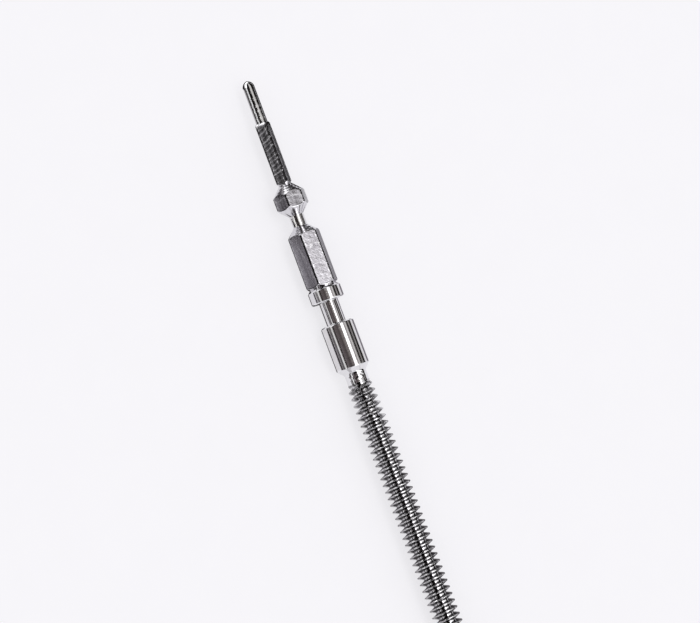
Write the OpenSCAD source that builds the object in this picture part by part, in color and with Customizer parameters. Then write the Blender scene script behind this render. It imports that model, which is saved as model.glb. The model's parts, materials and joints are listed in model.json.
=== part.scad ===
// Winding stem of a mechanical watch, cut from one steel bar.
// Millimetres. +X runs along the axis from the pilot's tip to the free end of the thread.
// The origin is on the axis, in the hub's front shoulder. +Z is square to one flat of the hexagons.

/* [Pilot] */
// Diameter of the pilot, which turns in the movement's inner bearing
pilot_d = 0.39; // [0.32:0.01:0.42]
// Length of the pilot, with its nose
pilot_length = 1.45; // [1:0.05:2.5]
// Radius of the arc that rounds the pilot's nose
pilot_nose_arc = 0.23; // [0.22:0.01:0.5]

/* [Square] */
// Width of the square across its flats
square_width = 0.41; // [0.38:0.01:0.46]
// Diameter over the square's corners, left by the bar it was milled from
square_corner_d = 0.52; // [0.48:0.01:0.58]
// Length of the square, up to the notch before the hexagon
square_length = 2.1; // [1.5:0.05:3]
// Width of the bevel round the square's front end
square_bevel = 0.03; // [0.01:0.005:0.04]
// Diameter at the bottom of the notch between the square and the front hexagon
square_notch_d = 0.4; // [0.34:0.01:0.44]

/* [Hexagons] */
// Width of both hexagons across their flats
hexagon_width = 0.97; // [0.92:0.01:1]
// Diameter over the hexagons' corners, left by the bar they were milled from
hexagon_corner_d = 1.1; // [1.06:0.01:1.15]
// Length of the front hexagon, with its two cones
front_hexagon_length = 1.06; // [0.9:0.02:1.6]
// Length of the rear hexagon, with its cone and its bevel
rear_hexagon_length = 2.08; // [1.2:0.02:3]
// Length of the free neck between the hexagons
neck_length = 0.37; // [0.2:0.01:0.8]
// Diameter of the free neck
neck_d = 0.48; // [0.4:0.01:0.6]

/* [Collar and lever groove] */
// Diameter of the collar behind the rear hexagon
collar_d = 1.1; // [1.06:0.01:1.2]
// Length of the collar, with its front bevel
collar_length = 0.49; // [0.3:0.01:0.8]
// Diameter at the bottom of the notch between the rear hexagon and the collar
collar_notch_d = 0.91; // [0.8:0.01:0.91]
// Width of the bevel on the collar's rear edge
collar_bevel = 0.03; // [0.01:0.005:0.05]
// Diameter of the groove that holds the setting lever
groove_d = 0.64; // [0.5:0.01:0.75]
// Width of the groove that holds the setting lever
groove_width = 0.78; // [0.4:0.01:1.2]

/* [Hub and relief] */
// Diameter of the hub, which turns in the movement's outer bearing
hub_d = 1.1; // [1:0.01:1.3]
// Length of the hub
hub_length = 1.48; // [0.8:0.02:3]
// Width of the bevel on the hub's front edge
hub_bevel = 0.04; // [0.01:0.005:0.06]
// Diameter of the plain neck before the thread
relief_d = 0.73; // [0.62:0.01:0.78]
// Length of the plain neck before the thread
relief_length = 0.34; // [0.2:0.01:1]
// Radius of the fillet between the hub's rear cone and the plain neck
relief_fillet = 0.12; // [0.04:0.01:0.14]

/* [Thread] */
// Outer diameter of the thread
thread_d = 0.9; // [0.86:0.01:1]
// Diameter at the bottom of the thread
thread_core_d = 0.55; // [0.5:0.01:0.6]
// Pitch of the thread
thread_pitch = 0.225; // [0.2:0.005:0.3]
// Length of the thread
thread_length = 10; // [4:0.5:12]
// Outer diameter of the first turn, next to the plain neck
first_turn_d = 0.83; // [0.8:0.01:0.86]
// Length over which the outer diameter grows to its full size
lead_in_length = 1.1; // [0.4:0.1:2]
// Width of the flat on the thread's crest
crest_flat = 0.012; // [0.004:0.002:0.03]
// Width of the flat at the thread's root
root_flat = 0.012; // [0.004:0.002:0.03]
// Diameter of the small face at the free end of the thread
thread_end_d = 0.5; // [0.3:0.02:0.5]

/* [Hidden] */

// Facets round a turned surface
$fn = 96;

// Sides of the square and of a hexagon
square_sides = 4;
hexagon_sides = 6;
// Turn about the axis of a corner of each, from -Z towards +Y. The hexagons have a flat square to Z
square_turn = 84;
hexagon_turn = 30;

// Where each length starts along the axis, counted from the hub's front shoulder
groove_x = -groove_width;
collar_x = groove_x - collar_length;
rear_hexagon_x = collar_x - rear_hexagon_length;
neck_x = rear_hexagon_x - neck_length;
front_hexagon_x = neck_x - front_hexagon_length;
square_x = front_hexagon_x - square_length;
pilot_x = square_x - pilot_length;
relief_x = hub_length;
hub_cone_length = (hub_d - relief_d) / 2;
thread_x = relief_x + hub_cone_length + relief_length;

// Length of the pilot's nose, where its arc meets the axis
pilot_nose_length = sqrt(pow(pilot_nose_arc, 2) - pow(pilot_nose_arc - pilot_d / 2, 2));

// Columns round the thread, and rows of points in one pitch: root start, root end, crest start, crest end
thread_columns = 24;
rows_per_pitch = 4;
// Turn of the helix about the axis where the thread starts
thread_turn = 17;
// Points of the thread nearer to an end face than this lie in it
least_gap = 0.001;
flank_width = (thread_pitch - root_flat - crest_flat) / 2;
row_offsets = [0, root_flat, root_flat + flank_width, root_flat + flank_width + crest_flat];
thread_rows = rows_per_pitch * (ceil(thread_length / thread_pitch) + 2);

// Colours of the steel as it was turned, milled and threaded
turned = [0.78, 0.78, 0.79];
milled = [0.66, 0.66, 0.69];
threaded = [0.48, 0.47, 0.48];

// A turned solid through stations along X, each one given as [x, diameter]
module turned_solid(stations) {
    first = stations[0];
    last = stations[len(stations) - 1];
    rotate([0, 90, 0])
        rotate_extrude()
            polygon(concat([[0, first[0]]], [for (s = stations) [s[1] / 2, s[0]]], [[0, last[0]]]));
}

// A prism along X, as wide as given across its flats
module milled_prism(sides, turn, width, x, length) {
    translate([x, 0, 0])
        rotate([0, 90, 0])
            rotate([0, 0, turn])
                cylinder(r = width / 2 / cos(180 / sides), h = length, $fn = sides);
}

// A round pivot whose nose is an arc turned about the axis
module pilot_pivot() {
    color(turned)
        translate([pilot_x, 0, 0])
            rotate([0, 90, 0])
                rotate_extrude()
                    union() {
                        translate([0, pilot_nose_length])
                            square([pilot_d / 2, pilot_length - pilot_nose_length]);
                        intersection() {
                            square([pilot_d / 2, pilot_nose_length]);
                            translate([pilot_d / 2 - pilot_nose_arc, pilot_nose_length])
                                circle(r = pilot_nose_arc);
                        }
                    }
}

// A turned bar bevelled at both ends, with four flats
module clutch_square() {
    end_x = front_hexagon_x;
    notch_bevel = (square_corner_d - square_notch_d) / 2;
    color(milled)
        intersection() {
            turned_solid([
                [square_x, square_corner_d - 2 * square_bevel],
                [square_x + square_bevel, square_corner_d],
                [end_x - notch_bevel, square_corner_d],
                [end_x, square_notch_d],
            ]);
            milled_prism(square_sides, square_turn, square_width, square_x, square_length);
        }
}

// A turned bar with a cone at each end, with six flats
module hexagon_length(x, length, front_d, rear_d) {
    end_x = x + length;
    color(milled)
        intersection() {
            turned_solid([
                [x, front_d],
                [x + (hexagon_corner_d - front_d) / 2, hexagon_corner_d],
                [end_x - (hexagon_corner_d - rear_d) / 2, hexagon_corner_d],
                [end_x, rear_d],
            ]);
            milled_prism(hexagon_sides, hexagon_turn, hexagon_width, x, length);
        }
}

module front_hexagon() {
    hexagon_length(front_hexagon_x, front_hexagon_length, square_notch_d, neck_d);
}

module free_neck() {
    color(turned)
        turned_solid([[neck_x, neck_d], [neck_x + neck_length, neck_d]]);
}

module rear_hexagon() {
    hexagon_length(rear_hexagon_x, rear_hexagon_length, neck_d, collar_notch_d);
}

module shoulder_collar() {
    end_x = collar_x + collar_length;
    color(turned)
        turned_solid([
            [collar_x, collar_notch_d],
            [collar_x + (collar_d - collar_notch_d) / 2, collar_d],
            [end_x - collar_bevel, collar_d],
            [end_x, collar_d - 2 * collar_bevel],
        ]);
}

module lever_groove() {
    color(turned)
        turned_solid([[groove_x, groove_d], [groove_x + groove_width, groove_d]]);
}

module bearing_hub() {
    color(turned)
        turned_solid([
            [0, hub_d - 2 * hub_bevel],
            [hub_bevel, hub_d],
            [hub_length, hub_d],
        ]);
}

// The hub's rear cone runs at 45 degrees into the plain neck, with a fillet where they meet
module thread_relief() {
    neck_start_x = relief_x + hub_cone_length;
    // The fillet touches the cone and the neck this far from where they would meet
    reach = relief_fillet * tan(22.5);
    color(turned)
        rotate([0, 90, 0])
            rotate_extrude()
                union() {
                    polygon([
                        [0, relief_x],
                        [hub_d / 2, relief_x],
                        [relief_d / 2, neck_start_x],
                        [relief_d / 2, thread_x],
                        [0, thread_x],
                    ]);
                    difference() {
                        polygon([
                            [relief_d / 2 + reach * sin(45), neck_start_x - reach * cos(45)],
                            [relief_d / 2, neck_start_x + reach],
                            [relief_d / 4, neck_start_x],
                        ]);
                        translate([relief_d / 2 + relief_fillet, neck_start_x + reach])
                            circle(r = relief_fillet);
                    }
                }
}

// Distance of a row from the thread's first face, which grows by one pitch in a turn
function row_x(row, column) =
    (floor(row / rows_per_pitch) - 1 + column / thread_columns) * thread_pitch
    + row_offsets[row % rows_per_pitch];

// Radius of the thread there: it rises out of the plain neck over one pitch, and ends in a bevel
function row_radius(x, is_crest) =
    let (
        crest_d = first_turn_d + (thread_d - first_turn_d) * min(1, x / lead_in_length),
        full_d = is_crest ? crest_d : thread_core_d,
        risen_d = relief_d + (full_d - relief_d) * min(1, x / thread_pitch),
        bevel_d = thread_end_d + 2 * (thread_length - x)
    )
    min(risen_d, bevel_d) / 2;

// Right-hand thread, as one surface whose rows of points follow the helix between two flat ends
module crown_thread() {
    // In each column, the last row at or before the first face, and the first row at or past the other
    first_rows = [
        for (column = [0:thread_columns - 1])
            max([for (row = [0:thread_rows - 1]) if (row_x(row, column) < least_gap) row])
    ];
    last_rows = [
        for (column = [0:thread_columns - 1])
            min([
                for (row = [0:thread_rows - 1])
                    if (row_x(row, column) > thread_length - least_gap) row
            ])
    ];
    points = [
        for (row = [0:thread_rows - 1], column = [0:thread_columns - 1])
            let (
                raw_x = row_x(row, column),
                x = raw_x < least_gap ? 0 : raw_x > thread_length - least_gap ? thread_length : raw_x,
                radius = row_radius(x, row % rows_per_pitch >= 2),
                angle = thread_turn + 360 * column / thread_columns
            )
            [thread_x + x, radius * cos(angle), radius * sin(angle)]
    ];
    function point_at(row, column) =
        column == thread_columns
            ? point_at(row + rows_per_pitch, 0)
            : min(max(row, first_rows[column]), last_rows[column]) * thread_columns + column;
    sides = [
        for (row = [0:thread_rows - 2], column = [0:thread_columns - 1])
            let (
                a = point_at(row, column),
                b = point_at(row + 1, column),
                c = point_at(row + 1, column + 1),
                d = point_at(row, column + 1)
            )
            each [if (a != b) [a, b, c], if (c != d) [a, c, d]]
    ];
    first_face = [for (column = [0:thread_columns - 1]) point_at(0, column)];
    last_face = [for (column = [thread_columns - 1:-1:0]) point_at(thread_rows, column)];
    color(threaded)
        polyhedron(points = points, faces = concat(sides, [first_face, last_face]));
}

pilot_pivot();
clutch_square();
front_hexagon();
free_neck();
rear_hexagon();
shoulder_collar();
lever_groove();
bearing_hub();
thread_relief();
crown_thread();
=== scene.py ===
"""Winding stem of a mechanical watch: the looks of one steel bar, turned, milled and threaded.

Sizes in the classes are in millimetres, and meshes are in metres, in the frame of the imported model:
+X runs along the axis from the pilot's tip to the free end of the thread, the origin is in the hub's
front shoulder, and +Z is square to one flat of the hexagons.
"""
import json
import logging
import math
from dataclasses import dataclass
from enum import Enum

import bpy
import numpy as np
from mathutils import Matrix, Vector


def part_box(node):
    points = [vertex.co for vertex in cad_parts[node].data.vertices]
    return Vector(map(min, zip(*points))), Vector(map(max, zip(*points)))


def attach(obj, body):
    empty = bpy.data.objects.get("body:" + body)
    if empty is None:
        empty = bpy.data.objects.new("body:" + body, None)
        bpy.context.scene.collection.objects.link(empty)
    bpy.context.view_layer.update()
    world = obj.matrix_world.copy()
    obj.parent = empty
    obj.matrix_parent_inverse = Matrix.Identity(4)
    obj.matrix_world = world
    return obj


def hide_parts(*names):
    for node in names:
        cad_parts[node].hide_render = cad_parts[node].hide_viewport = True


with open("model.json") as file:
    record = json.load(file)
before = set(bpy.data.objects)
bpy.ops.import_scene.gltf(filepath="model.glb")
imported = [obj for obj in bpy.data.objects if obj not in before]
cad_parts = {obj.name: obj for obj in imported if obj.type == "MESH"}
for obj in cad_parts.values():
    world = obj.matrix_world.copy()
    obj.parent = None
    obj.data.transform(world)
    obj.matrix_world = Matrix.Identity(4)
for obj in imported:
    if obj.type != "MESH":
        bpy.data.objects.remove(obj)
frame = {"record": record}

MM = 0.001
PHOTO_WIDTH = 700

# Least turn in degrees of an edge that is shaded sharp, and points on an arc that rounds a corner.
SHARP_EDGE, ARC_POINTS = 38, 9
# Distance over which rubbing, nicks, rings and lumps fade out.
FADE = 0.02
# Rows on the front and the rear cone of a milled length, and points across a land between its flats.
CONE_ROWS, LAND_POINTS = (48, 26), 12
# Shortest length of such a cone, and pitch of the lathe's rings on the front one.
LEAST_CONE, RING_PITCH = 0.002, 0.085
# Distance from a flat's edge of the painted highlight line along it, which is also smoother, and that line's
# width.
BRIGHT_LINE = (0.045, 0.014)
# Width of the dark rims at both ends of a flat, and how far the cones beside them are rubbed bright.
RIM, CONE_POLISH = 0.04, 0.75

log = logging.getLogger("stem")


class Slot(Enum):
    """The record's material slots."""

    TURNED = "turned_steel"
    MILLED = "milled_steel"
    THREADED = "threaded_steel"


def linear(colour: str) -> tuple[float, float, float, float]:
    """Turn an sRGB hex colour to linear light.

    Args:
        colour: six hex digits after a hash, such as "#DAD9DC".

    Returns:
        Red, green, blue and alpha, as a shader socket takes them.
    """
    parts = [int(colour[i : i + 2], 16) / 255 for i in (1, 3, 5)]
    red, green, blue = (p / 12.92 if p <= 0.04045 else ((p + 0.055) / 1.055) ** 2.4 for p in parts)
    return red, green, blue, 1.0


class Nodes:
    """The node tree of a material or of the world, begun with no nodes."""

    def __init__(self, owner: bpy.types.Material | bpy.types.World) -> None:
        """Switch on the owner's nodes, without those that come with it.

        Args:
            owner: the material or the world.
        """
        owner.use_nodes = True
        self.tree = owner.node_tree
        self.tree.nodes.clear()

    def add(self, kind: str, inputs: dict, **settings: str) -> bpy.types.Node:
        """Add a shader node with its settings and links.

        Args:
            kind: the node's type after "ShaderNode", such as "Mix".
            inputs: an input's name or number, and the node (by its first output) or the output that
                feeds it, or the value that it keeps.
            settings: attributes of the node, such as operation.

        Returns:
            The new node.
        """
        node = self.tree.nodes.new("ShaderNode" + kind)
        for name, value in settings.items():
            setattr(node, name, value)
        for name, value in inputs.items():
            if isinstance(value, bpy.types.Node):
                value = value.outputs[0]
            if isinstance(value, bpy.types.NodeSocket):
                self.tree.links.new(value, node.inputs[name])
            else:
                node.inputs[name].default_value = value
        return node


def add_object(name: str, data: bpy.types.ID) -> bpy.types.Object:
    """Make an object and put it in the scene.

    Args:
        name: its name.
        data: the mesh, light or camera that it shows.

    Returns:
        The new object, at the origin.
    """
    new = bpy.data.objects.new(name, data)
    bpy.context.scene.collection.objects.link(new)
    return new


def random_waves(seed: int, count: int, lengths: tuple[float, float], *along: np.ndarray) -> np.ndarray:
    """Smooth random height between about -1 and 1.

    It is the sum of a few sine waves, whose directions, lengths and phases are drawn at random.

    Args:
        seed: the start of the random numbers.
        count: how many waves are added.
        lengths: the shortest and the longest wave, in the unit of the coordinates.
        along: one or two arrays of coordinates, of one shape.

    Returns:
        The heights, in the shape of the coordinates.
    """
    draw = np.random.default_rng(seed)
    total = np.zeros(np.broadcast_shapes(*(a.shape for a in along)))
    for turn, length, phase in zip(
        draw.uniform(0, math.pi, count), draw.uniform(*lengths, count), draw.uniform(0, math.tau, count)
    ):
        weights = (math.cos(turn), math.sin(turn)) if len(along) == 2 else (1.0,)
        distance = sum(w * a for w, a in zip(weights, along))
        total += np.sin(math.tau * distance / length + phase)
    return total / math.sqrt(count)


def lower_of(a: np.ndarray, b: np.ndarray, width: float) -> np.ndarray:
    """The lower of two heights, with their crossing rounded off.

    Where the two differ by less than the width, h = 1/2 + (b - a) / (2 width) blends them, and
    width h (1 - h) is taken off.

    Args:
        a: one set of heights.
        b: the other set.
        width: difference over which they blend.

    Returns:
        The blended heights.
    """
    h = np.clip(0.5 + 0.5 * (b - a) / width, 0, 1)
    return b * (1 - h) + a * h - width * h * (1 - h)


def crowded(count: int, pull: float) -> np.ndarray:
    """Numbers from -1 to 1 that crowd at both ends: tanh(pull u) / tanh(pull), with u even."""
    return np.tanh(pull * np.linspace(-1, 1, count)) / math.tanh(pull)


@dataclass(frozen=True)
class Corner:
    """A corner of a turned profile.

    Attributes:
        x: its place along the axis.
        r: its distance from the axis.
        arc: radius of the arc that rounds it.
    """

    x: float
    r: float
    arc: float = 0.0


class Solid:
    """A closed mesh round the axis that takes its place among the pieces."""

    def __init__(
        self, node: str, slot: Slot, grid: np.ndarray, number: np.ndarray | None = None, **wear_and_painted_light: np.ndarray
    ) -> None:
        """Join rows of points into triangles, and make the mesh and its object.

        Pairs of triangles join each row to the next, and a fan of them closes each end on the axis.

        Args:
            node: the CAD node that it replaces, and whose name it takes.
            slot: the record's material slot; not used.
            grid: points in millimetres, of shape (rows, columns, 3), along X and round it from +Y to
                +Z.
            number: rows of numbers of points, as they are joined. The last column holds the points
                that the one before it meets. Without it, the grid's last column meets its first.
            wear_and_painted_light: how far each point is rubbed bright, and along the milled flats' edges
            painted bright as a highlight (polish_and_highlight); how far it is darkened by oxide and oil,
            and on the thread's flanks by painted shade (soil_and_shade); and how far it is torn by the
            cutter (torn); from 0 to 1, of shape (rows, columns).
        """
        if number is None:
            number = np.arange(grid[..., 0].size).reshape(grid.shape[:2])
            number = np.concatenate([number, number[:, :1]], axis=1)
        points = np.concatenate([grid.reshape(-1, 3), [[grid[end, 0, 0], 0, 0] for end in (0, -1)]])
        front, rear = (np.full(number.shape[1] - 1, len(points) - back) for back in (2, 1))
        a, b, c, d = number[:-1, :-1], number[1:, :-1], number[1:, 1:], number[:-1, 1:]
        triangles = [
            np.stack([a, d, c], axis=-1)[c != d],
            np.stack([a, c, b], axis=-1)[a != b],
            np.stack([front, number[0, 1:], number[0, :-1]], axis=-1),
            np.stack([rear, number[-1, :-1], number[-1, 1:]], axis=-1),
        ]
        used, renumbered = np.unique(np.concatenate(triangles), return_inverse=True)
        points = points[used]
        corners = renumbered.reshape(-1).astype(np.int32)
        mesh = bpy.data.meshes.new(f"{node}_surface")
        mesh.vertices.add(len(points))
        mesh.vertices.foreach_set("co", (points * MM).astype(np.float32).ravel())
        mesh.loops.add(len(corners))
        mesh.loops.foreach_set("vertex_index", corners)
        mesh.polygons.add(len(corners) // 3)
        mesh.polygons.foreach_set("loop_start", np.arange(0, len(corners), 3, dtype=np.int32))
        mesh.update(calc_edges=True)
        mesh.validate()
        mesh.shade_smooth()
        mesh.set_sharp_from_angle(angle=math.radians(SHARP_EDGE))
        for name, values in wear_and_painted_light.items():
            values = np.clip(np.append(values, [0, 0])[used], 0, 1).astype(np.float32)
            mesh.attributes.new(name, "FLOAT", "POINT").data.foreach_set("value", values)
        self.node = node
        self.object = add_object(f"{node}_steel", mesh)
        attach(self.object, "root")
        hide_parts(node)

    def dress(self, material: bpy.types.Material) -> None:
        """Give the whole piece one material."""
        self.object.data.materials.append(material)

    def report(self) -> None:
        """Log how many triangles it has and how far its ends lie from those of its CAD node."""
        low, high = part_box(self.node)
        xs = [corner[0] for corner in self.object.bound_box]
        ends = (min(xs) - low.x) / MM, (max(xs) - high.x) / MM
        count = len(self.object.data.polygons)
        log.info("%s: %d triangles, ends off by %.3f and %.3f mm", self.object.name, count, *ends)


def around_axis(x: np.ndarray, r: np.ndarray, angle: np.ndarray) -> np.ndarray:
    """Points at (x, r cos(angle), r sin(angle)), with the three arrays spread to one shape."""
    x, r, angle = np.broadcast_arrays(x, r, angle)
    return np.stack([x, r * np.cos(angle), r * np.sin(angle)], axis=-1)


@dataclass
class TurnedLength:
    """A length of the stem with a round section, as it left the lathe.

    Attributes:
        node: the CAD node that it replaces.
        corners: its profile, with small arcs at its edges.
        rubbed: places along X of the edges that are rubbed bright.
        wave: height of the lathe's faint waves along the surface.
        lumps: height of random lumps where it is thinnest.
        shine: how far it is burnished all over.
        columns: points round the axis.
        step: longest distance between rows on a straight stretch.
    """

    node: str
    corners: tuple[Corner, ...]
    rubbed: tuple[float, ...] = ()
    wave: float = 0.0002
    lumps: float = 0.0
    shine: float = 0.0
    columns: int = 192
    step: float = 0.02

    def straight(self, start: np.ndarray, end: np.ndarray) -> np.ndarray:
        """Points from start to end, a step apart at most, without the first."""
        count = max(2, math.ceil(np.linalg.norm(end - start) / self.step) + 1)
        return np.linspace(start, end, count)[1:]

    def profile(self) -> np.ndarray:
        """Points along the profile, with its corners rounded.

        An arc of radius a that rounds a turn by the angle t touches both sides a tan(t / 2) from the
        corner. Its points are centre - a (n cos s - d sin s), where d is the direction into the
        corner, n points from there to the centre, and s runs from 0 to t.

        Returns:
            The profile's points, as (x, r).
        """
        at = np.array([(c.x, c.r) for c in self.corners])
        parts, last = [at[:1]], at[0]
        for before, here, after, corner in zip(at, at[1:], at[2:], self.corners[1:]):
            into = (here - before) / np.linalg.norm(here - before)
            out = (after - here) / np.linalg.norm(after - here)
            turn = math.acos(float(np.clip(into @ out, -1, 1)))
            start = here - into * corner.arc * math.tan(turn / 2)
            side = np.array([-into[1], into[0]]) * np.sign(into[0] * out[1] - into[1] * out[0] or 1)
            centre = start + side * corner.arc
            s = np.linspace(0, turn, ARC_POINTS if corner.arc else 1)[:, None]
            arc = centre - corner.arc * (side * np.cos(s) - into * np.sin(s))
            parts += [self.straight(last, start), arc[1:]]
            last = arc[-1]
        return np.concatenate([*parts, self.straight(last, at[-1])])

    def build(self) -> Solid:
        """Turn the profile about the axis.

        A point at the angle t is (x, r cos t, r sin t), and r has faint random waves along X, which
        lie just below the profile, and lumps that are random waves over (x, r cos t) and
        (x, r sin t), which close round the axis.

        Returns:
            The solid.
        """
        x, r = self.profile().T
        seed = sum(map(ord, self.node))
        wave = random_waves(seed, 9, (0.05, 0.3), x)
        wave = self.wave * (wave - wave.max() - 0.2)
        wave[[0, -1]] = 0
        angle = np.linspace(0, math.tau, self.columns, endpoint=False)
        radius = (r + wave)[:, None] * np.ones(self.columns)
        grid = around_axis(x[:, None], radius, angle[None, :])
        lumps = random_waves(seed + 1, 14, (0.1, 0.35), grid[..., 0], grid[..., 1])
        lumps = lumps + random_waves(seed + 2, 14, (0.1, 0.35), grid[..., 0], grid[..., 2])
        lumps = self.lumps * np.minimum(lumps, 0.3) * np.clip(1 - (r - r.min()) / FADE, 0, 1)[:, None]
        lumps[[0, -1]] = 0
        grid = around_axis(x[:, None], radius + lumps, angle[None, :])
        near = np.full(len(x), self.shine)
        for edge in self.rubbed:
            near = np.maximum(near, np.exp(-(((x - edge) / FADE) ** 2)))
        polish_and_highlight = np.repeat(near[:, None], self.columns, axis=1)
        return Solid(self.node, Slot.TURNED, grid, polish_and_highlight=polish_and_highlight)


@dataclass
class Pilot(TurnedLength):
    """The pilot pivot, with a nose turned on an arc.

    Attributes:
        diameter: diameter of the pivot.
        tip_x: the nose's tip.
        end_x: the pivot's end in the square.
        nose_arc: radius of the nose's arc.
    """

    diameter: float = 0.39
    tip_x: float = -8.33
    end_x: float = -6.88
    nose_arc: float = 0.23

    def profile(self) -> np.ndarray:
        """The nose's arc and the straight side.

        The arc's centre lies nose_arc - diameter / 2 beyond the axis, where the side begins.

        Returns:
            The profile's points, as (x, r).
        """
        beyond = self.nose_arc - self.diameter / 2
        start_x = self.tip_x + math.sqrt(self.nose_arc**2 - beyond**2)
        swing = np.linspace(math.asin(beyond / self.nose_arc) + 0.02, math.pi / 2, 40)
        x = start_x - self.nose_arc * np.cos(swing)
        r = self.nose_arc * np.sin(swing) - beyond
        # The nose ends in a tiny face, and the side runs a little way into the square.
        x[0] = self.tip_x
        side = np.linspace(start_x, self.end_x + 0.01, 60)[1:]
        return np.stack([np.concatenate([x, side]), np.concatenate([r, np.full(len(side), r[-1])])], axis=1)


@dataclass(frozen=True)
class CutterMarks:
    """Marks that the milling cutter left on one flat.

    Attributes:
        spacing: distance between marks.
        depth: how deep they are between their ridges.
        slant: turn of the marks from square across the flat, in degrees.
        arc: radius of the cutter's path, or 0 where the marks run straight.
        wander: how far they stray from their line.
        pits: depth of the random hollows between them.
        tear: width of the torn ridges between marks.
        torn: how many of the ridges are torn: the higher, the fewer.
    """

    spacing: float
    depth: float
    slant: float = 0.0
    arc: float = 0.0
    wander: float = 0.02
    pits: float = 0.0008
    tear: float = 0.016
    torn: float = 3.0

    def cut(self, x: np.ndarray, t: np.ndarray, seed: int) -> tuple[np.ndarray, np.ndarray]:
        """Height of the flat's surface over its plane, and how far it is torn.

        Across the marks, at the distance s, each mark is a hollow of depth (1 - (2 f - 1)^2), where
        f is the fraction of s / spacing, and marks differ in depth at random.

        Args:
            x: distance along the flat.
            t: distance across it.
            seed: the start of the random numbers.

        Returns:
            The heights, and the tear from 0 to 1.
        """
        turn = math.radians(self.slant)
        if self.arc:
            s = np.hypot(x - self.arc * math.cos(turn), t - self.arc * math.sin(turn))
        else:
            s = x * math.cos(turn) + t * math.sin(turn)
        s = s + self.wander * random_waves(seed, 7, (0.25, 0.9), x, t)
        whole, f = np.divmod(s / self.spacing, 1.0)
        draw = np.random.default_rng(seed)
        unlike = draw.uniform(0.35, 1.0, 512)[whole.astype(int) % 512]
        hollow = -self.depth * unlike * (1 - (2 * f - 1) ** 2)
        strength = draw.uniform(0, 1, 512)[(whole + (f > 0.5)).astype(int) % 512] ** self.torn
        ridge = np.exp(-((np.minimum(f, 1 - f) * self.spacing / self.tear) ** 2))
        broken = np.clip(0.7 + 0.5 * random_waves(seed + 2, 12, (0.06, 0.3), x, t), 0, 1)
        return hollow + self.pits * random_waves(seed + 1, 24, (0.05, 0.22), x, t), strength * ridge * broken


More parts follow.
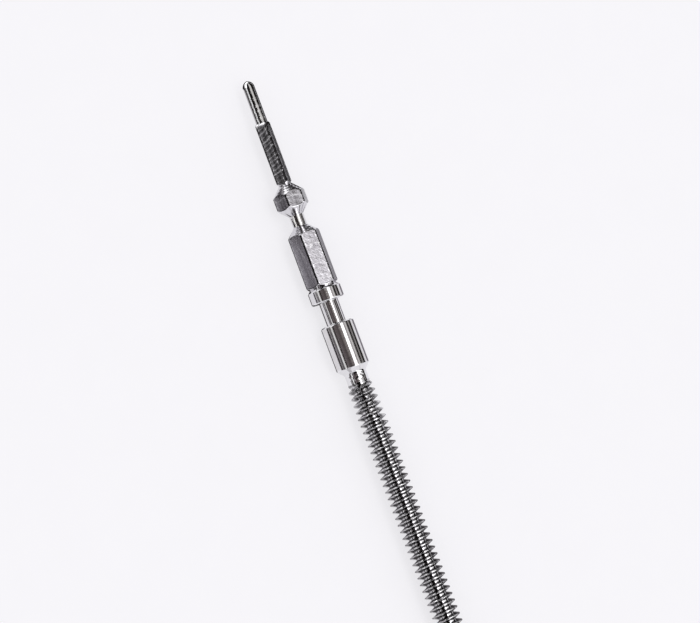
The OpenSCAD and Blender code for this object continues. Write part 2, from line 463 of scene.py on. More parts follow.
@dataclass
class MilledLength:
    """A length of turned bar with flats milled on it, and a cone or bevel at each end.

    Attributes:
        node: the CAD node that it replaces.
        start_x: its end towards the pilot.
        end_x: its end towards the thread.
        front_d: diameter where the front cone starts.
        rear_d: diameter where the rear cone ends.
        marks: cutter marks of each flat, used in turn.
        bar_d: diameter of the bar, which shows on the corners.
        width: width across the flats.
        sides: number of flats.
        first_flat: angle of the first flat's normal from +Y towards +Z, in degrees.
        across: points across a flat.
        step: distance between rows.
        nick: depth of the nicks along the corners' edges.
        edge: width over which the cones' edges are rounded.
        fade: width over which the darkening of the lands fades out on the flats.
        streak: how dark the lengthwise streaks on the flats are.
        dull: how dark the flats are.
        rim: how dark the flats' front and rear edges are.
        brim: width over which the flats' front edges are rounded off and rubbed bright.
        ring: height of the lathe's rings on the front cone.
    """

    node: str
    start_x: float
    end_x: float
    front_d: float
    rear_d: float
    marks: tuple[CutterMarks, ...]
    bar_d: float = 1.10
    width: float = 0.97
    sides: int = 6
    first_flat: float = 90
    across: int = 60
    step: float = 0.014
    nick: float = 0.004
    edge: float = 0.006
    fade: float = 0.016
    streak: float = 0.1
    dull: float = 0.0
    rim: float = 0.0
    brim: float = 0.0
    ring: float = 0.0

    def columns(self) -> tuple[np.ndarray, np.ndarray]:
        """Angles of the columns, which crowd at the flats' edges.

        Returns:
            The angle of each column from its flat's normal, and the number of its flat.
        """
        half_turn = math.pi / self.sides
        half_flat = math.acos(self.width / self.bar_d)
        flat = np.arctan(math.tan(half_flat) * crowded(self.across, 1.8))
        land = half_turn + (half_turn - half_flat) * crowded(LAND_POINTS, 1.2)
        turn = np.tile(np.concatenate([flat, land[1:-1]]), self.sides)
        side = np.repeat(np.arange(self.sides), self.across + LAND_POINTS - 2)
        return turn, side

    def build(self) -> Solid:
        """Cut the flats and cones out of the bar; dress them with rubbing, darkening, tears and painted
        highlights.

        The radius at x and at the angle t from a flat's normal is the least of the bar's radius, the
        flat's height over cos t, and the two cones at 45 degrees. Rows crowd where a cone ends, which
        differs from column to column.

        Returns:
            The solid.
        """
        turn, side = self.columns()
        beyond = turn > math.pi / self.sides
        folded = np.where(beyond, turn - math.tau / self.sides, turn)
        owner = np.where(beyond, side + 1, side) % self.sides
        plain = np.minimum(self.bar_d / 2, self.width / 2 / np.cos(folded))
        front = np.maximum(plain - self.front_d / 2, LEAST_CONE)
        rear = np.maximum(plain - self.rear_d / 2, LEAST_CONE)
        length = self.end_x - self.start_x
        rows = max(12, math.ceil((length - front.max() - rear.max()) / self.step))
        front_cone, rear_cone = ((crowded(count, 1.4)[:, None] + 1) / 2 for count in CONE_ROWS)
        body = (crowded(rows, 0.9)[:, None] + 1) / 2
        stretches = [
            self.start_x + front_cone * front,
            (self.start_x + front + body * (length - front - rear))[1:-1],
            self.end_x - rear + rear_cone * rear,
        ]
        x = np.concatenate(stretches)
        from_start = x - self.start_x
        across = self.width / 2 * np.tan(folded)
        from_edge = math.sqrt((self.bar_d / 2) ** 2 - (self.width / 2) ** 2) - np.abs(across)
        height, torn = np.zeros_like(x), np.zeros_like(x)
        for number in range(self.sides):
            own = owner == number
            marks = self.marks[number % len(self.marks)]
            place = np.broadcast_arrays(x[:, own], across[own])
            height[:, own], torn[:, own] = marks.cut(*place, number + 11)
        nicks = np.maximum(random_waves(side.size, 14, (0.06, 0.2), x, across * 3 + side), 0) ** 2
        near_edge = np.exp(-((from_edge / FADE) ** 2))
        worn_front = np.exp(-((from_start / max(self.brim, 0.001)) ** 2) / 2)
        height = height - self.nick * nicks * near_edge - 0.4 * self.brim * worn_front**2
        flat = (self.width / 2 + height) / np.cos(folded)
        radius = lower_of(np.full_like(x, self.bar_d / 2), flat, 0.004)
        rings = self.ring * np.sin(from_start * math.tau / RING_PITCH) * np.clip(from_start / FADE, 0, 1)
        radius = lower_of(radius, self.front_d / 2 + from_start + rings, self.edge)
        radius = lower_of(radius, self.rear_d / 2 + (self.end_x - x), self.edge)
        angle = math.radians(self.first_flat) + turn + side * math.tau / self.sides
        grid = around_axis(x, radius, angle)
        beads = 0.6 + 0.5 * random_waves(5, 9, (0.08, 0.3), x, across + side)
        # Painted highlight: a bright, smoother line a little inside each flat's edge, standing in for the
        # highlight along the edge.
        line, line_width = BRIGHT_LINE
        bright = np.exp(-(((from_edge - line) / line_width) ** 2)) * beads
        land = 1 - np.clip((from_edge - 0.008) / self.fade, 0, 1)
        on_flat = (x > self.start_x + front) & (x < self.end_x - rear)
        streaks = self.streak * random_waves(8, 12, (0.06, 0.4), across + 2 * side + 0 * x)
        rear_rim = np.exp(-(((self.end_x - rear - x) / RIM) ** 4))
        front_rim = beads * np.exp(-(((from_start - front) / RIM) ** 4))
        rim = self.rim * np.maximum(rear_rim, front_rim)
        soil_and_shade = np.where(on_flat, np.maximum(self.dull + streaks, np.maximum(land, rim)), 0)
        torn = torn * on_flat
        soil_and_shade = soil_and_shade * (1 - worn_front) * (1 - 0.8 * np.maximum(torn, np.clip(bright, 0, 0.8)))
        polish_and_highlight = np.where(on_flat, np.maximum(bright, worn_front), CONE_POLISH)
        return Solid(self.node, Slot.MILLED, grid, polish_and_highlight=polish_and_highlight, soil_and_shade=soil_and_shade, torn=torn)


@dataclass
class CrownThread:
    """The threaded shank, with a fine right-hand thread and its crest and root rounded.

    Attributes:
        start_x: where the thread starts, at the plain neck.
        length: length of the thread.
        pitch: distance between turns.
        outer_d: diameter over the crests.
        core_d: diameter at the root.
        first_d: diameter over the first crest.
        lead_in: length over which the crests reach their full diameter.
        neck_d: diameter of the plain neck.
        end_d: diameter of the face at the free end.
        flat: width of the flats at crest and root.
        turn: angle of the helix where it starts, in degrees from +Y towards +Z.
        columns: points round the axis.
        burr: height of the burrs on the first crests.
        rough: height of the tool's marks on the later crests.
        sway: how far the first crests stray along X.
        flank_shade: how dark the flanks are painted, as shade in the grooves.
        smear: how dark the spots on the first turns are.
        fading: number of turns over which burrs, sway and spots fade.
        rounding: share of the thread's height over which crest and root are rounded.
        climb: heights of the rows between root and crest, as shares of the thread's height.
    """

    start_x: float = 2.005
    length: float = 10.0
    pitch: float = 0.225
    outer_d: float = 0.90
    core_d: float = 0.55
    first_d: float = 0.83
    lead_in: float = 1.1
    neck_d: float = 0.73
    end_d: float = 0.5
    flat: float = 0.036
    turn: float = 17.0
    columns: int = 96
    burr: float = 0.02
    rough: float = 0.003
    sway: float = 0.014
    flank_shade: float = 0.62
    smear: float = 0.9
    fading: float = 3.5
    rounding: float = 0.12
    climb: tuple[float, ...] = (0.0, 0.05, 0.1, 0.2, 0.5, 0.8, 0.9, 0.95)

    def build(self) -> Solid:
        """Wind the thread's rows of points along the helix between two flat ends.

        Row m starts at (m // n - 1 + column / columns) pitch plus its own place in the pitch, where n
        is the number of rows in a pitch. A point beyond an end is drawn onto it, and the last column
        joins the first one n rows later.

        Returns:
            The solid.
        """
        up = np.array(self.climb)
        share = np.concatenate([up / 2, [0.5], 1 - up[:0:-1] / 2])
        per_pitch = len(share)
        place = (share * self.pitch + self.flat / 2)[None, :]
        turns = math.ceil(self.length / self.pitch) + 3
        column = np.arange(self.columns + 1)
        starts = (np.arange(turns)[:, None] - 1) * self.pitch + place
        x = starts.reshape(-1, 1) + column / self.columns * self.pitch
        x = np.clip(x, 0, self.length)
        up_down = np.tile(1 - np.abs(2 * share - 1), turns)[:, None]
        part = self.flat / self.pitch
        slope = np.clip((up_down - part) / (1 - 2 * part), -1, 2)
        climb = lower_of(slope, np.ones_like(slope), self.rounding)
        climb = -lower_of(-climb, np.zeros_like(slope), self.rounding)
        way = (x / self.pitch) * math.pi * self.outer_d
        early = np.exp(-x / (self.fading * self.pitch))
        ragged = (self.rough + self.burr * early) * random_waves(3, 20, (0.08, 0.5), way)
        crest = self.first_d + (self.outer_d - self.first_d) * np.minimum(1, x / self.lead_in)
        crest = crest + 2 * np.minimum(ragged, 0.004 + 0.01 * early)
        full = self.core_d + (crest - self.core_d) * climb
        risen = self.neck_d + (full - self.neck_d) * np.minimum(1, x / self.pitch)
        radius = np.minimum(risen, self.end_d + 2 * (self.length - x)) / 2
        turned = (np.arange(len(x)) // per_pitch)[:, None] + column / self.columns
        stray = self.sway * early * random_waves(6, 12, (0.1, 0.5), turned * math.pi * self.outer_d)
        x = np.clip(x + stray * np.clip(x / self.pitch, 0, 1), 0, self.length)
        angle = math.radians(self.turn) + math.tau * column / self.columns
        grid = around_axis(self.start_x + x, radius, angle)[:, :-1]
        first = (x[:, :-1] <= 0).sum(axis=0) - 1
        last = (x[:, :-1] < self.length).sum(axis=0)
        rows = np.arange(len(x) - per_pitch)[:, None]
        held = np.clip(rows, first, last) * self.columns + column[:-1]
        joined = np.clip(rows + per_pitch, first[0], last[0]) * self.columns
        number = np.concatenate([held, joined], axis=1)
        flank = 1 - np.abs(2 * climb - 1) ** 4
        beaten = np.clip((climb - 0.7) / 0.15, 0, 1) * (0.6 + 0.5 * random_waves(4, 16, (0.08, 0.4), way))
        spots = 1.6 * random_waves(9, 24, (0.06, 0.3), way, 3 * climb + 0 * way)
        spots = self.smear * early * np.clip(spots, 0, 1)
        # Painted shade: the flanks are darkened, less where the crests are beaten, standing in for the dark
        # in the grooves.
        flank_shade = self.flank_shade * flank * (1 - 0.85 * np.clip(beaten, 0, 1))
        wear_and_painted_light = {"polish_and_highlight": 1 - 1.4 * flank, "soil_and_shade": np.maximum(flank_shade, spots), "torn": beaten * (1 - spots)}
        wear_and_painted_light = {name: np.broadcast_to(values, x.shape)[:, :-1] for name, values in wear_and_painted_light.items()}
        return Solid("crown_thread", Slot.THREADED, grid, number, **wear_and_painted_light)


@dataclass(frozen=True)
class Steel:
    """Hardened carbon steel, dressed by how its surface was made.

    Attributes:
        name: the material's name.
        bright_colour: colour where it is rubbed bright, and of the painted highlight lines along the milled
            flats' edges.
        plain: its colour elsewhere.
        stain: colour of the faint oil and oxide on it.
        stained: how much of the stain shows.
        smooth: roughness where it is rubbed bright, and on the painted highlight lines.
        rough: roughness elsewhere.
        mark_mm: spacing of its fine marks along X and round it.
        mark_height_mm: height of those marks.
        soil_and_shade_colour: colour where oxide and oil stay, and of the painted shade on the thread's
            flanks.
        ripped: roughness where the cutter tore it.
        even: share of the marks' height that is left where it is rubbed bright, and on the painted highlight
            lines.
        cloud_mm: size of the patches of stain.
    """

    name: str
    bright_colour: str
    plain: str
    stain: str
    stained: float
    smooth: float
    rough: float
    mark_mm: tuple[float, float]
    mark_height_mm: float
    soil_and_shade_colour: str = "#2C2A2C"
    ripped: float = 0.55
    even: float = 1.0
    cloud_mm: float = 0.35

    def material(self) -> bpy.types.Material:
        """Build the node tree: colour from rubbing, stain, painted highlights and painted shade,
        roughness, and fine marks as bump.

        Returns:
            The material.
        """
        material = bpy.data.materials.new(self.name)
        nodes = Nodes(material)
        place = nodes.add("TexCoord", {}).outputs["Object"]
        polish_and_highlight, soil_and_shade, torn = (
            nodes.add("Attribute", {}, attribute_name=name).outputs["Fac"]
            for name in ("polish_and_highlight", "soil_and_shade", "torn")
        )
        along, around = (1 / (MM * size) for size in self.mark_mm)
        fine = nodes.add("Mapping", {"Vector": place, "Scale": (along, around, around)})
        marks = nodes.add("TexNoise", {"Vector": fine, "Scale": 1.0, "Detail": 2.0, "Roughness": 0.55})
        scale = 1 / (self.cloud_mm * MM)
        cloud = nodes.add("TexNoise", {"Vector": place, "Scale": scale, "Detail": 3.0, "Roughness": 0.6})
        spread = nodes.add("MapRange", {"Value": cloud, 1: 0.45, 2: 0.75, 4: self.stained})
        bright = nodes.add("Math", {0: polish_and_highlight, 1: torn}, operation="MAXIMUM")
        colour = linear(self.plain)
        # The bright colour carries rubbing and painted highlights, and the dark one oxide, oil and painted
        # shade.
        for share, over in (spread, self.stain), (bright, self.bright_colour), (soil_and_shade, self.soil_and_shade_colour):
            inputs = {0: share, 6: colour, 7: linear(over)}
            colour = nodes.add("Mix", inputs, data_type="RGBA").outputs[2]
        plain = nodes.add("MapRange", {"Value": polish_and_highlight, 3: self.rough, 4: self.smooth})
        gloss = nodes.add("MapRange", {"Value": torn, 3: plain, 4: self.ripped})
        uneven = nodes.add("MapRange", {"Value": marks, 1: 0.3, 2: 0.7, 3: 0.85, 4: 1.15})
        roughness = nodes.add("Math", {0: gloss, 1: uneven}, operation="MULTIPLY")
        left = nodes.add("MapRange", {"Value": polish_and_highlight, 3: 1.0, 4: self.even})
        height = self.mark_height_mm * MM
        bump = nodes.add("Bump", {"Strength": left, "Distance": height, "Height": marks})
        inputs = {"Base Color": colour, "Metallic": 1.0, "Roughness": roughness, "Normal": bump}
        shader = nodes.add("BsdfPrincipled", inputs)
        nodes.add("OutputMaterial", {"Surface": shader})
        return material


# Turned with a fine tool and burnished: bright, with faint rings that a mirror image breaks on.
BURNISHED = Steel(
    name="carbon_steel_turned_burnished",
    bright_colour="#EDEDEF",
    plain="#DDDCDE",
    stain="#C9C5BF",
    stained=0.5,
    smooth=0.07,
    rough=0.1,
    mark_mm=(0.06, 0.9),
    mark_height_mm=0.0006,
)
# Milled and left as cut: greyer and duller than the lathe's surface, with the cutter's marks on it.
MILLED = Steel(
    name="carbon_steel_milled",
    bright_colour="#E4E3E6",
    plain="#BDBBC0",
    stain="#A19EA4",
    stained=0.8,
    smooth=0.1,
    rough=0.22,
    mark_mm=(0.05, 0.12),
    mark_height_mm=0.0012,
    even=0.3,
)
# Cut with a die: dark in the grooves, where the flanks carry painted shade, and bright on the crests.
THREADED = Steel(
    name="carbon_steel_thread_cut",
    bright_colour="#E4E3E5",
    plain="#CFCED0",
    stain="#A9A6A4",
    stained=0.8,
    smooth=0.06,
    rough=0.1,
    mark_mm=(0.03, 0.2),
    mark_height_mm=0.0008,
    ripped=0.24,
)


@dataclass
class FrontEnd:
    """The pilot, the square and the front hexagon, which reach into the movement."""

    pilot_d: float = 0.39
    square_x: float = -6.88
    hexagon_x: float = -4.78
    neck_x: float = -3.72
    square_d: float = 0.52
    square_width: float = 0.41
    notch_d: float = 0.40
    neck_d: float = 0.48

    def build(self) -> list[Solid]:
        """Make the three lengths.

        Returns:
            Their solids.
        """
        pilot = Pilot(node="pilot_pivot", corners=(), shine=0.9, diameter=self.pilot_d, end_x=self.square_x)
        slanted = CutterMarks(0.13, 0.003, slant=175, arc=7.86, wander=0.012, tear=0.022, torn=1.6)
        fine = CutterMarks(0.12, 0.002, slant=20, wander=0.02)
        square = MilledLength(
            node="clutch_square",
            start_x=self.square_x,
            end_x=self.hexagon_x,
            bar_d=self.square_d,
            width=self.square_width,
            sides=4,
            first_flat=129,
            front_d=self.square_d - 0.06,
            rear_d=self.notch_d,
            marks=(slanted, fine),
            across=44,
            step=0.01,
            nick=0.003,
            fade=0.03,
            dull=0.76,
            brim=0.045,
        )
        swirl = CutterMarks(0.15, 0.0008, slant=35, arc=1.6, wander=0.03, pits=0.0006)
        front = MilledLength(
            node="front_hexagon",
            start_x=self.hexagon_x,
            end_x=self.neck_x,
            front_d=self.notch_d,
            rear_d=self.neck_d,
            marks=(swirl,),
            fade=0.012,
            dull=0.46,
            rim=1.0,
            ring=0.0008,
        )
        return [pilot.build(), square.build(), front.build()]


@dataclass
class Middle:
    """The free neck, the rear hexagon, the collar and the setting lever's groove."""

    neck_x: float = -3.72
    hexagon_x: float = -3.35
    collar_x: float = -1.27
    groove_x: float = -0.78
    hub_x: float = 0.0
    neck_d: float = 0.48
    collar_d: float = 1.10
    notch_d: float = 0.91
    groove_d: float = 0.64

    def build(self) -> list[Solid]:
        """Make the four lengths.

        Returns:
            Their solids.
        """
        neck_r, groove_r, edge_r = self.neck_d / 2, self.groove_d / 2, self.collar_d / 2
        neck = TurnedLength(
            node="free_neck",
            corners=(
                Corner(self.neck_x - 0.02, neck_r + 0.01),
                Corner(self.neck_x, neck_r, 0.03),
                Corner(self.hexagon_x, neck_r, 0.03),
                Corner(self.hexagon_x + 0.02, neck_r + 0.01),
            ),
        )
        swirl = CutterMarks(0.16, 0.0006, slant=12, arc=1.4, wander=0.05, pits=0.0005)
        smooth = CutterMarks(0.25, 0.0005, slant=80, wander=0.02, pits=0.0003)
        hexagon = MilledLength(
            node="rear_hexagon",
            start_x=self.hexagon_x,
            end_x=self.collar_x,
            front_d=self.neck_d,
            rear_d=self.notch_d,
            marks=(swirl, smooth),
            streak=0.05,
            dull=0.18,
            rim=0.8,
            ring=0.0018,
        )
        collar = TurnedLength(
            node="shoulder_collar",
            corners=(
                Corner(self.collar_x, self.notch_d / 2),
                Corner(self.collar_x + edge_r - self.notch_d / 2, edge_r, 0.02),
                Corner(self.groove_x - 0.03, edge_r, 0.02),
                Corner(self.groove_x, edge_r - 0.03, 0.008),
                Corner(self.groove_x, groove_r - 0.05),
            ),
            rubbed=(self.collar_x + 0.09, self.groove_x - 0.02),
        )
        groove = TurnedLength(
            node="lever_groove",
            corners=(
                Corner(self.groove_x - 0.01, groove_r + 0.04),
                Corner(self.groove_x, groove_r + 0.04),
                Corner(self.groove_x, groove_r, 0.03),
                Corner(self.hub_x, groove_r, 0.03),
                Corner(self.hub_x, groove_r + 0.04),
                Corner(self.hub_x + 0.01, groove_r + 0.04),
            ),
        )
        return [neck.build(), hexagon.build(), collar.build(), groove.build()]


@dataclass
class RearEnd:
    """The hub, the plain neck behind it and the threaded shank."""

    hub_d: float = 1.10
    hub_length: float = 1.48
    bevel: float = 0.04
    relief_d: float = 0.73
    fillet: float = 0.12
    thread_x: float = 2.005

    def build(self) -> list[Solid]:
        """Make the three lengths.

        Returns:
            Their solids.
        """
        hub_r, relief_r = self.hub_d / 2, self.relief_d / 2
        hub = TurnedLength(
            node="bearing_hub",
            corners=(
                Corner(0.0, 0.3),
                Corner(0.0, hub_r - self.bevel, 0.01),
                Corner(self.bevel, hub_r, 0.025),
                Corner(self.hub_length, hub_r, 0.012),
                Corner(self.hub_length + 0.01, hub_r - 0.01),
            ),
            rubbed=(0.03, self.hub_length - 0.01),
        )
        relief = TurnedLength(
            node="thread_relief",
            corners=(
                Corner(self.hub_length, hub_r - 0.02),
                Corner(self.hub_length + 0.01, hub_r - 0.01),
                Corner(self.hub_length + hub_r - relief_r, relief_r, self.fillet),
                Corner(self.thread_x, relief_r),
            ),
            wave=0.0006,
            lumps=0.0016,
            shine=0.6,
        )
        return [hub.build(), relief.build(), CrownThread(start_x=self.thread_x).build()]


@dataclass(frozen=True)
class Card:
    """A glowing card that only the polished steel mirrors: a painted reflection, dark where it stands in for
    shade and dark surroundings, and white where it stands in for highlights.

    Attributes:
        start: where one of its long edges is: an angle from the camera in degrees for a band of the
        painted reflections above the stem, positive to the right of the picture, and a place along Y
        for a card on the floor.
        end: where the other edge is.
        shade: its colour.
        reach: where it starts and ends along X.
        glow: its strength.
    """

    start: float
    end: float
    shade: str
    reach: tuple[float, float] = (-130, 130)
    glow: float = 1.0

    def light(self) -> tuple[float, float, float, float]:
        """Its radiance: its colour in linear light, times its strength."""
        red, green, blue, _ = linear(self.shade)
        return red * self.glow, green * self.glow, blue * self.glow, 1.0


# Stretches of the painted reflections that the pilot, the square, the square's front rim, the free
# neck, the thread and its later turns mirror.
PILOT = (-600, -17.7)
SQUARE = (-17.7, -13.8)
FRONT_RIM = (-300, -35)
NECK = (-17, -9.6)
THREAD = (-0.5, 200)
LATER_TURNS = (3.5, 200)
# The bands of painted reflection above the stem: start, end, shade, reach and glow. The dark ones
# stand in for dark surroundings, and the glowing white ones are painted highlights. Later ones lie
# in front of earlier ones.
BANDS = (
    (-71.5, -64, "#918D90"),
    (-64, -54, "#625E61"),
    (-54, -50, "#A9A9A8"),
    (-50, -42, "#FAFAFA"),
    (-42, -38.5, "#8A8482"),
    (-38.5, -29, "#352F2F"),
    (-29, -12, "#675F60"),
    (-12, 1, "#5B5454"),
    (1, 9, "#7D7674"),
    (9, 20, "#8A8380"),
    (37.5, 42, "#C8C5C4"),
    (42, 50, "#A39F9F"),
    (50, 59, "#DCDAD8"),
    (59, 63, "#7A7675"),
    (63, 75, "#221F1F"),
    (75, 86.5, "#928E8D"),
    (86.5, 101, "#1A1818"),
    (101, 104, "#8A8786"),
    (-71.5, -57, "#2A2626", PILOT),
    (-57, -36, "#FFFFFF", PILOT),
    (-36, 17, "#0E0C0C", PILOT),
    (17, 50, "#D0CECB", PILOT),
    (50, 109, "#1C1A1A", PILOT),
    (-64, -18, "#2B282A", SQUARE),
    (17, 50, "#D0CECB", SQUARE),
    (-60, -30, "#FFFFFF", FRONT_RIM, 2),
    (-71.5, -48, "#FFFFFC", NECK, 1.3),
    (-48, -2, "#2E2928", NECK),
    (4, 21, "#FFFFFC", NECK, 1.4),
    (-71.5, -52, "#4A4648", THREAD),
    (-52, -40, "#FFFFFF", THREAD),
    (-40, -34, "#1C1A1A", THREAD),
    (-34, -22, "#A19D9F", THREAD),
    (-22, 19, "#161414", THREAD),
    (25, 42, "#FFFFFF", LATER_TURNS, 5),
    (42, 66, "#FFFFFF", LATER_TURNS, 1.5),
    (66, 80, "#FFFFFF", LATER_TURNS, 1.2),
    (80, 109, "#1E1B1B", THREAD),
)
# The cards on the floor, with the same values: painted reflections of the floor, where the dark
# ones near the stem are painted shadow and the white ones are painted highlights. Later ones lie over
# earlier ones.
STRIPS = (
    (0.6, 9, "#242121", (-9.6, -6.9)),
    (-60, -1.35, "#1E1C1C", (-9.6, -6.9)),
    (-1.35, 0.6, "#242121", (-10.5, -8.2)),
    (-1.35, -0.5, "#B0ADAF", (-8.2, -6.9)),
    (-60, -1.6, "#3A3638", (-6.9, -4.8)),
    (-1.3, -0.6, "#5E5B5E", (-6.9, -4.9)),
    (1.55, 2.6, "#1E1B1C", (-8.2, -4.85)),
    (0.5, 1.25, "#2A2728", (-6.9, -4.9)),
    (1.3, 1.9, "#1E1B1C", (-4.85, -4.2)),
    (-13, -3.3, "#8C888D", (-4.8, -3.75)),
    (-60, -0.95, "#2A2626", (-3.75, -3.33)),
    (-13, -3.3, "#847F86", (-3.33, -1.3)),
    (-0.7, 0.2, "#3A3839", (-3.33, -1.3)),
    (0.9, 1.35, "#A09DA2", (-3.35, -1.3)),
    (-60, -3.3, "#413D40", (-1.5, 1.5)),
    (-0.7, 0.2, "#555254", (-1.3, 1.5)),
    (1.2, 3.3, "#858088", (-1.3, 1.5)),
    (-4, -0.9, "#C2C0C3", (4.6, 30)),
    (-0.9, -0.4, "#8E8B8E", (3, 30)),
    (0.4, 1.6, "#7A777A", (3, 30)),
    (1.6, 3, "#2A2829", (5, 30)),
    (-1.5, 0.9, "#FFFFFF", (-30, -9.6), 2),
    (-2, 7, "#FFFFFF", (-80, -30), 2),
    (1, 9, "#353233", (-30, -9.6)),
)


@dataclass
class Studio:
    """The floor, the lamp, the painted reflections and the camera.

    The bands and strips are glowing cards that only the polished steel mirrors: painted reflections,
    whose dark ones stand in for dark surroundings and the stem's shadow on the floor, and whose white
    ones stand in for highlights. Only reflections show them, and they neither light the floor nor shade it.

    Attributes:
        tilt: angle between +Z and the camera's side of the axis, in degrees towards -Y.
        lean: angle by which the camera leans towards +X, in degrees.
        distance: distance from the camera to the stem.
        focal: focal length in pixels of the picture.
        aim: the point on the axis that the camera faces.
        aside: how far the picture's middle lies beside the axis.
        roll: sine and cosine of the axis's turn in the picture.
        floor_z: height of the floor, which the hub and collar touch.
        floor_side: length of its sides in metres.
        even_share: share of what the camera and the steel see of it that is its own even colour.
        pale: colour of the floor and the surround.
        lamp: angles of the lamp's two edges from the camera.
        lamp_level: radiance of the lamp, where 1 is white.
        lamp_size: length of the lamp and its distance from the stem, in metres.
        radius: distance of the bands of painted reflection from the axis.
        facet: widest angle of a flat face of it, in degrees.
        gaps: distance from one band to the next in front, and from one card to the next above.
        bands: the bands of painted reflection above the stem.
        strips: the cards of painted reflection on the floor; the dark ones near the stem are painted shadow.
    """

    tilt: float = 18.9
    lean: float = 3.0
    distance: float = 120.0
    focal: float = 3744.6
    aim: float = -0.2214
    aside: float = 0.532
    roll: tuple[float, float] = (0.3504, 0.9366)
    floor_z: float = -0.551
    floor_side: float = 3.0
    even_share: float = 0.75
    pale: str = "#F6F5F8"
    lamp: tuple[float, float] = (21.5, 37.5)
    lamp_level: float = 1.5
    lamp_size: tuple[float, float] = (0.3, 0.15)
    radius: float = 100.0
    facet: float = 4.0
    gaps: tuple[float, float] = (0.1, 0.001)
    bands: tuple[Card, ...] = tuple(Card(*row) for row in BANDS)
    strips: tuple[Card, ...] = tuple(Card(*row) for row in STRIPS)

    def towards(self, degrees: float) -> np.ndarray:
        """Direction square to X at an angle from the camera, positive to the right of the picture."""
        turn = math.radians(degrees - self.tilt)
        return np.array([0.0, math.sin(turn), math.cos(turn)])

    def place_camera(self) -> None:
        """Set up the camera where the photograph was taken, turned so that the stem slants as there."""
        lean = math.radians(self.lean)
        back = Vector(self.towards(0.0)) * math.cos(lean) + Vector((math.sin(lean), 0, 0))
        along = (Vector((1, 0, 0)) - back * back.x).normalized()
        beside = back.cross(along)
        sine, cosine = self.roll
        right = sine * along + cosine * beside
        up = sine * beside - cosine * along
        data = bpy.data.cameras.new("camera")
        data.lens = self.focal * data.sensor_width / PHOTO_WIDTH
        data.clip_start, data.clip_end = 0.001, 10.0
        camera = add_object("camera", data)
        where = (Vector((self.aim, 0, 0)) + beside * self.aside + back * self.distance) * MM
        turned = Matrix((right, up, back)).transposed()
        camera.matrix_world = Matrix.Translation(where) @ turned.to_4x4()
        bpy.context.scene.camera = camera

    def place_floor(self) -> None:
        """Lay a wide pale floor under the stem.

        Part of what the camera and the steel see of it is its own even colour, so that the contact
        shadow stays light.
        """
        material = bpy.data.materials.new("board_matt_pale")
        nodes = Nodes(material)
        place = nodes.add("TexCoord", {}).outputs["Object"]
        # Fibres a little over a millimetre across.
        fibre = nodes.add("TexNoise", {"Vector": place, "Scale": 0.9 / MM, "Detail": 2.0})
        shade = nodes.add("MapRange", {"Value": fibre, 3: 0.985})
        tinted = nodes.add("VectorMath", {0: linear(self.pale)[:3], 3: shade}, operation="SCALE")
        board = nodes.add("BsdfDiffuse", {"Color": tinted})
        even = nodes.add("Emission", {"Color": tinted})
        path = nodes.add("LightPath", {}).outputs
        seen = path["Is Camera Ray"]
        for ray in ("Is Glossy Ray", "Is Transmission Ray"):
            seen = nodes.add("Math", {0: seen, 1: path[ray]}, operation="ADD")
        share = nodes.add("Math", {0: seen, 1: self.even_share}, operation="MULTIPLY")
        shader = nodes.add("MixShader", {0: share, 1: board, 2: even})
        nodes.add("OutputMaterial", {"Surface": shader})
        side = self.floor_side / 2
        mesh = bpy.data.meshes.new("floor")
        corners = [(x * side, y * side, self.floor_z * MM) for x, y in ((-1, -1), (1, -1), (1, 1), (-1, 1))]
        mesh.from_pydata(corners, [], [(0, 1, 2, 3)])
        mesh.materials.append(material)
        floor = add_object("floor", mesh)

    def place_painted_reflections(self) -> None:
        """Build the bands and strips as one mesh of glowing faces, seen only in reflections: painted
        reflections, shadow and highlights.
        """
        faces, shades = [], []
        between_bands, between_cards = self.gaps
        for number, band in enumerate(self.bands):
            radius = self.radius - between_bands * number
            low, high = band.reach
            count = max(2, math.ceil((band.end - band.start) / self.facet) + 1)
            angles = np.linspace(band.start, band.end, count)
            edges = [self.towards(angle)[1:] * radius for angle in angles]
            for a, b in zip(edges, edges[1:]):
                faces.append([(low, *a), (high, *a), (high, *b), (low, *b)])
                shades.append(band.light())
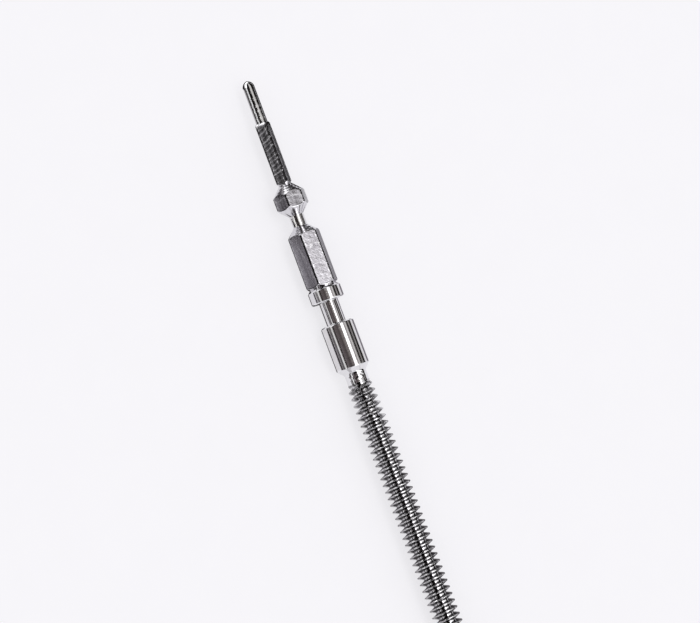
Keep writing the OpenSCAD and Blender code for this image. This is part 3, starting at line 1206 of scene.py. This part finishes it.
        # Painted shadow: the dark cards just above the floor stand in for the stem's shadow on it, as the
        # steel mirrors it.
        for number, strip in enumerate(self.strips):
            (low, high), z = strip.reach, self.floor_z + between_cards * (number + 2)
            a, b = (strip.start, z), (strip.end, z)
            faces.append([(low, *a), (high, *a), (high, *b), (low, *b)])
            shades.append(strip.light())
        points = np.array(faces).reshape(-1, 3) * MM
        mesh = bpy.data.meshes.new("painted_reflections")
        mesh.from_pydata(points.tolist(), [], np.arange(len(points)).reshape(-1, 4).tolist())
        colours = mesh.attributes.new("shade", "FLOAT_COLOR", "CORNER")
        colours.data.foreach_set("color", np.repeat(np.array(shades, dtype=np.float32), 4, axis=0).ravel())
        material = bpy.data.materials.new("painted_reflection_card")
        nodes = Nodes(material)
        shade = nodes.add("Attribute", {}, attribute_name="shade")
        # The faces glow, though they are no lamps: painted reflections.
        glow = nodes.add("Emission", {"Color": shade})
        nodes.add("OutputMaterial", {"Surface": glow})
        mesh.materials.append(material)
        cards = add_object("painted_reflections", mesh)
        cards.visible_camera = False
        cards.visible_diffuse = False
        cards.visible_shadow = False

    def place_lights(self) -> None:
        """Hang one long soft lamp to the right of the camera, in an even pale surround."""
        low, high = self.lamp
        length, distance = self.lamp_size
        away = Vector(self.towards((low + high) / 2))
        data = bpy.data.lights.new("soft_lamp", "AREA")
        data.shape = "RECTANGLE"
        data.size, data.size_y = length, 2 * distance * math.tan(math.radians((high - low) / 2))
        data.energy = self.lamp_level * math.pi * data.size * data.size_y
        lamp = add_object("soft_lamp", data)
        side = Vector((1, 0, 0))
        turned = Matrix((side, away.cross(side), away)).transposed()
        lamp.matrix_world = Matrix.Translation(away * distance) @ turned.to_4x4()
        lamp.visible_camera = False
        world = bpy.data.worlds.new("surround")
        nodes = Nodes(world)
        sky = nodes.add("Background", {"Color": linear(self.pale)})
        nodes.add("OutputWorld", {"Surface": sky})
        bpy.context.scene.world = world

    def build(self) -> None:
        """Place everything, and set the view transform."""
        self.place_camera()
        self.place_floor()
        self.place_painted_reflections()
        self.place_lights()
        bpy.context.scene.view_settings.view_transform = "Standard"


def main() -> None:
    """Build the stem and its studio, and report each piece."""
    logging.basicConfig(level=logging.INFO, format="%(name)s: %(message)s")
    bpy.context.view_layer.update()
    Studio().build()
    finishes = {
        Slot.TURNED: BURNISHED.material(),
        Slot.MILLED: MILLED.material(),
        Slot.THREADED: THREADED.material(),
    }
    slots = {piece["node"]: Slot(piece["material_slot"]) for piece in frame["record"]["subparts"]}
    for section in (FrontEnd(), Middle(), RearEnd()):
        for solid in section.build():
            solid.dress(finishes[slots[solid.node]])
            solid.report()


if __name__ == "__main__":
    main()
